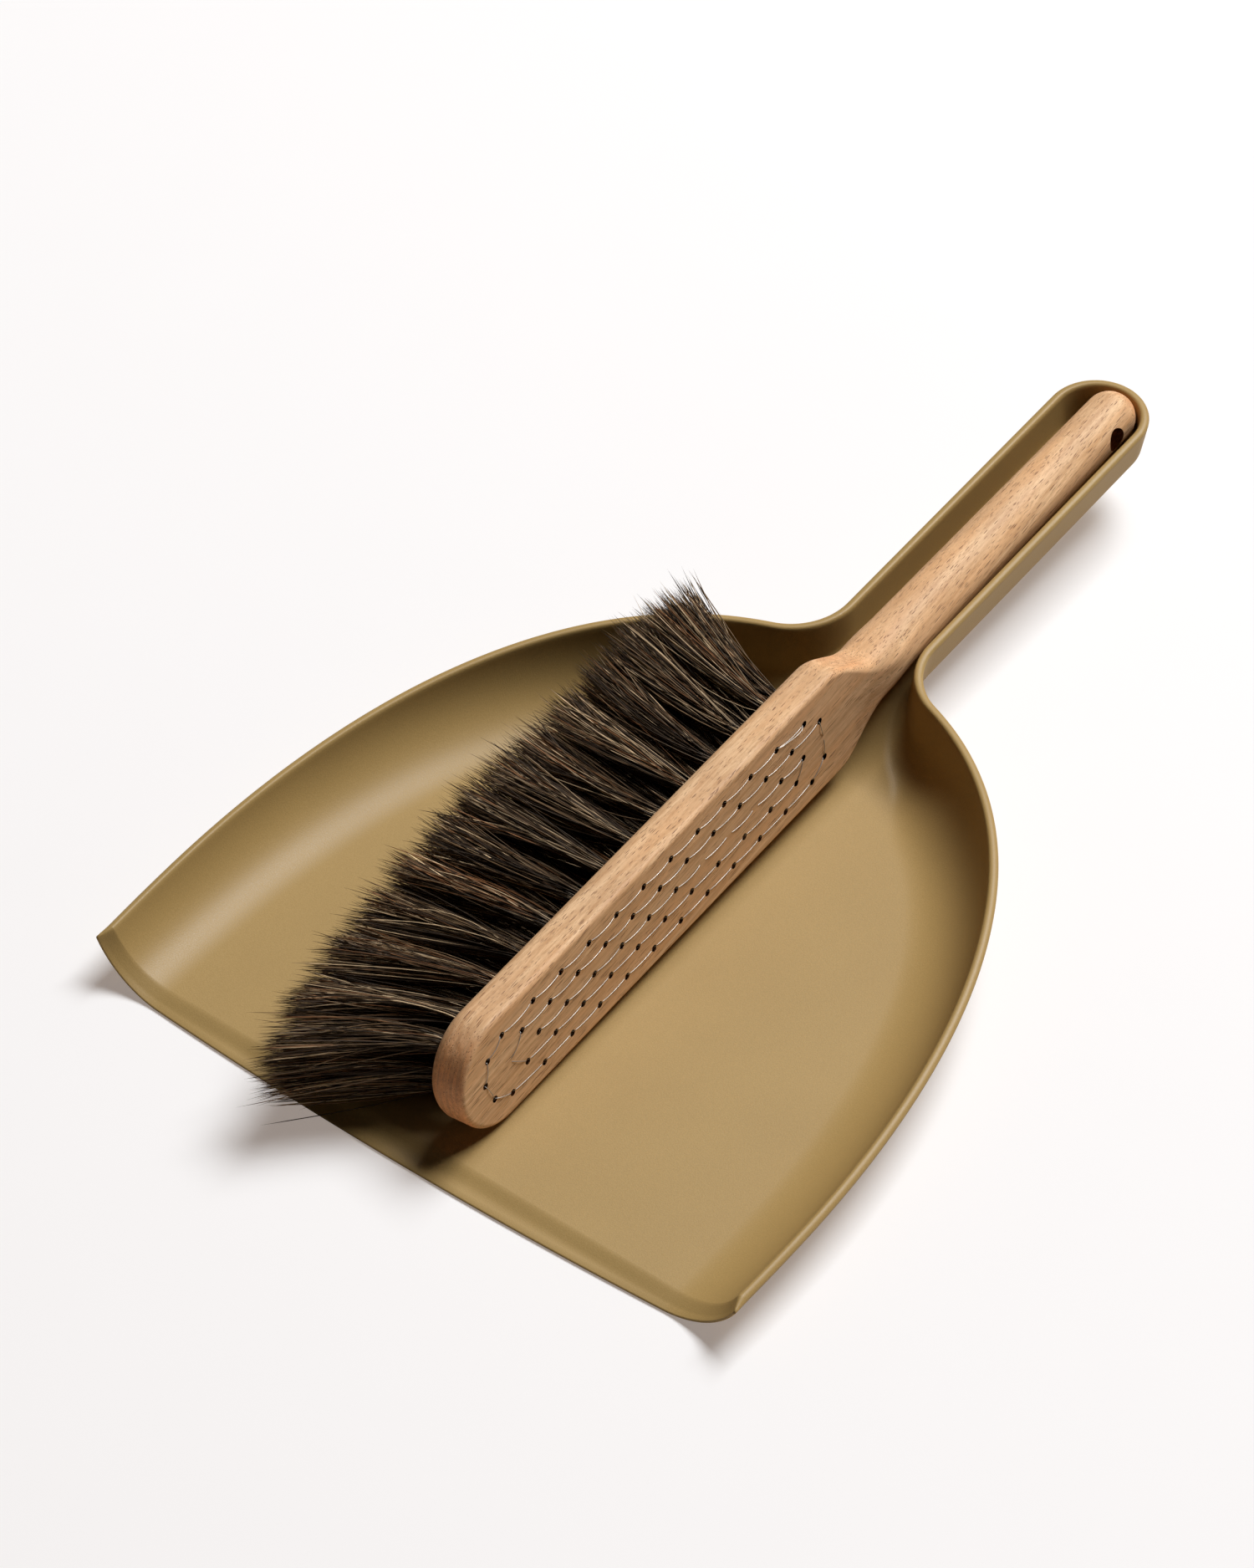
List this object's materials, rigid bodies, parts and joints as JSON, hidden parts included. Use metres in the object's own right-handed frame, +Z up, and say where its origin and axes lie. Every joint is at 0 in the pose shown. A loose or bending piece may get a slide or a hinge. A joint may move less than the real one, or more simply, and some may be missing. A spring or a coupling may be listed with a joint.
{
  "type": "dustpan and brush",
  "caption": "Moulded plastic dustpan with a trough handle, and a wire-drawn horsehair hand brush in beech lying in it; the brush lifts out.",
  "frame": {"origin": "on the flat underside of the pan, on its middle line, 95 mm behind the corners of the lip", "axes": "+Z up from the underside, +Y along the pan from the lip towards the handle, +X across the pan"},
  "size_m": [0.2254, 0.3624, 0.0444],
  "materials": {
    "pan_plastic": "ochre, satin, very finely textured mould finish",
    "beech": "oiled beech with short dark flecks",
    "steel_wire": "bright drawn wire",
    "horsehair": "dark brown and black horsehair, with some lighter hairs"
  },
  "bodies": {
    "dustpan": {"pan": "pan_plastic"},
    "brush": {"brush_block": "beech", "drawing_wire": "steel_wire", "tuft_02": "horsehair", "tuft_03": "horsehair", "tuft_04": "horsehair", "tuft_05": "horsehair", "tuft_06": "horsehair", "tuft_07": "horsehair", "tuft_08": "horsehair", "tuft_09": "horsehair", "tuft_10": "horsehair", "tuft_11": "horsehair", "tuft_12": "horsehair", "tuft_14": "horsehair", "tuft_15": "horsehair", "tuft_18": "horsehair", "tuft_19": "horsehair", "tuft_20": "horsehair", "tuft_21": "horsehair", "tuft_22": "horsehair", "tuft_23": "horsehair", "tuft_24": "horsehair", "tuft_25": "horsehair", "tuft_26": "horsehair", "tuft_27": "horsehair", "tuft_29": "horsehair", "tuft_30": "horsehair", "tuft_31": "horsehair", "tuft_32": "horsehair", "tuft_33": "horsehair", "tuft_34": "horsehair", "tuft_35": "horsehair", "tuft_36": "horsehair", "tuft_37": "horsehair", "tuft_38": "horsehair", "tuft_39": "horsehair", "tuft_40": "horsehair", "tuft_41": "horsehair", "tuft_43": "horsehair", "tuft_44": "horsehair", "tuft_45": "horsehair", "tuft_46": "horsehair", "tuft_47": "horsehair", "tuft_48": "horsehair", "tuft_49": "horsehair", "tuft_50": "horsehair", "tuft_51": "horsehair", "tuft_52": "horsehair", "tuft_53": "horsehair", "tuft_55": "horsehair", "tuft_56": "horsehair", "tuft_57": "horsehair", "tuft_58": "horsehair", "tuft_59": "horsehair", "tuft_60": "horsehair", "tuft_61": "horsehair", "tuft_62": "horsehair", "tuft_63": "horsehair", "tuft_64": "horsehair"}
  },
  "joints": [
    {"name": "brush_lift", "type": "slide", "parent": "dustpan", "child": "brush", "axis": [0, 0, 1], "range_m": [0, 0.12]}
  ]
}
